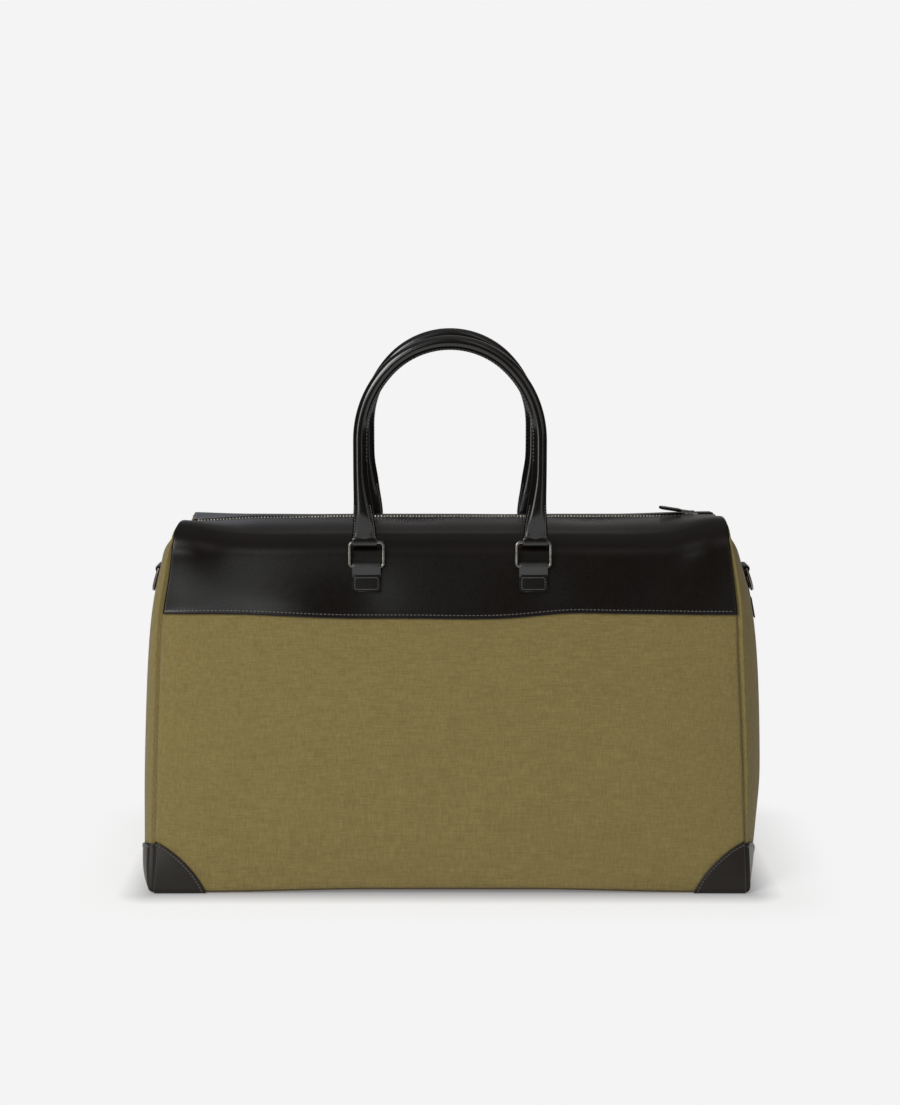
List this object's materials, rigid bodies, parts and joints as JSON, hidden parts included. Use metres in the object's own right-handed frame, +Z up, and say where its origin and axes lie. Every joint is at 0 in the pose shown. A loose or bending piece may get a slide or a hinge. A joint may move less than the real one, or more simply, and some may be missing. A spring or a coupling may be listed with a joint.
{
  "type": "duffel bag",
  "caption": "Weekend duffel bag: canvas body with leather yoke and corner patches, rolled leather handles on rectangular rings, straight top zip, D-rings on the ends.",
  "frame": {"origin": "middle of the base, on the surface that the bag stands on", "axes": "+X along the bag to its right end as seen from the front, -Y out of the front, +Z up"},
  "size_m": [0.5183, 0.2322, 0.4575],
  "materials": {
    "canvas": "olive khaki cotton canvas, fine twill weave, matt",
    "leather": "smooth near-black brown leather, soft satin sheen",
    "strap_leather": "smooth near-black brown leather, edges painted, stitched",
    "handle_leather": "smooth rolled leather, polished by the hand",
    "handle_core": "cotton cord",
    "board": "stiff fibre board",
    "lining": "plain woven cotton lining",
    "zip_tape": "woven polyester tape",
    "zip_metal": "dark nickel, worn on the edges",
    "ring_metal": "polished dark nickel"
  },
  "bodies": {
    "bag": {"front_canvas_panel": "canvas", "rear_canvas_panel": "canvas", "left_gusset": "canvas", "right_gusset": "canvas", "bottom_panel": "canvas", "front_leather_yoke": "leather", "rear_leather_yoke": "leather", "front_left_panel_patch": "leather", "front_left_gusset_patch": "leather", "front_right_panel_patch": "leather", "front_right_gusset_patch": "leather", "rear_left_panel_patch": "leather", "rear_left_gusset_patch": "leather", "rear_right_panel_patch": "leather", "rear_right_gusset_patch": "leather", "front_left_ring_tab": "strap_leather", "front_right_ring_tab": "strap_leather", "rear_left_ring_tab": "strap_leather", "rear_right_ring_tab": "strap_leather", "left_d_ring_tab": "strap_leather", "right_d_ring_tab": "strap_leather", "base_board": "board", "lining": "lining", "front_zip_tape": "zip_tape", "rear_zip_tape": "zip_tape", "front_zip_teeth": "zip_metal", "rear_zip_teeth": "zip_metal", "zip_top_stops": "zip_metal", "zip_bottom_stop": "zip_metal"},
    "zip_slider": {"zip_slider": "zip_metal"},
    "zip_pull": {"zip_pull_link": "zip_metal", "zip_pull_tab": "strap_leather"},
    "front_left_ring": {"front_left_ring": "ring_metal"},
    "front_right_ring": {"front_right_ring": "ring_metal"},
    "front_handle": {"front_handle": "handle_leather", "front_handle_core": "handle_core"},
    "rear_left_ring": {"rear_left_ring": "ring_metal"},
    "rear_right_ring": {"rear_right_ring": "ring_metal"},
    "rear_handle": {"rear_handle": "handle_leather", "rear_handle_core": "handle_core"},
    "left_d_ring": {"left_d_ring": "ring_metal"},
    "right_d_ring": {"right_d_ring": "ring_metal"}
  },
  "joints": [
    {"name": "zip_slide", "type": "slide", "parent": "bag", "child": "zip_slider", "axis": [-1, 0, 0], "range_m": [0, 0.412]},
    {"name": "zip_pull_swing", "type": "hinge", "parent": "zip_slider", "child": "zip_pull", "pos_m": [0.2065, 0, 0.303], "axis": [0, 1, 0], "range_deg": [-8, 160]},
    {"name": "front_left_ring_swing", "type": "hinge", "parent": "bag", "child": "front_left_ring", "pos_m": [-0.0685, -0.08559, 0.26822], "axis": [1, 0, 0], "range_deg": [0, 165]},
    {"name": "front_right_ring_swing", "type": "hinge", "parent": "bag", "child": "front_right_ring", "pos_m": [0.0685, -0.08559, 0.26822], "axis": [1, 0, 0], "range_deg": [0, 165]},
    {"name": "front_handle_swing", "type": "hinge", "parent": "front_left_ring", "child": "front_handle", "pos_m": [-0.0685, -0.08319, 0.28778], "axis": [1, 0, 0], "range_deg": [-26, 8]},
    {"name": "rear_left_ring_swing", "type": "hinge", "parent": "bag", "child": "rear_left_ring", "pos_m": [-0.0685, 0.08559, 0.26822], "axis": [-1, 0, 0], "range_deg": [0, 165]},
    {"name": "rear_right_ring_swing", "type": "hinge", "parent": "bag", "child": "rear_right_ring", "pos_m": [0.0685, 0.08559, 0.26822], "axis": [-1, 0, 0], "range_deg": [0, 165]},
    {"name": "rear_handle_swing", "type": "hinge", "parent": "rear_left_ring", "child": "rear_handle", "pos_m": [-0.0685, 0.08319, 0.28778], "axis": [-1, 0, 0], "range_deg": [-26, 8]},
    {"name": "left_d_ring_swing", "type": "hinge", "parent": "bag", "child": "left_d_ring", "pos_m": [-0.24853, 0, 0.25538], "axis": [0, 1, 0], "range_deg": [0, 165]},
    {"name": "right_d_ring_swing", "type": "hinge", "parent": "bag", "child": "right_d_ring", "pos_m": [0.25297, 0, 0.25524], "axis": [0, -1, 0], "range_deg": [0, 165]}
  ],
  "couplings": [
    {"joint": "front_right_ring_swing", "follows": "front_left_ring_swing", "ratio": 1},
    {"joint": "rear_right_ring_swing", "follows": "rear_left_ring_swing", "ratio": 1}
  ]
}
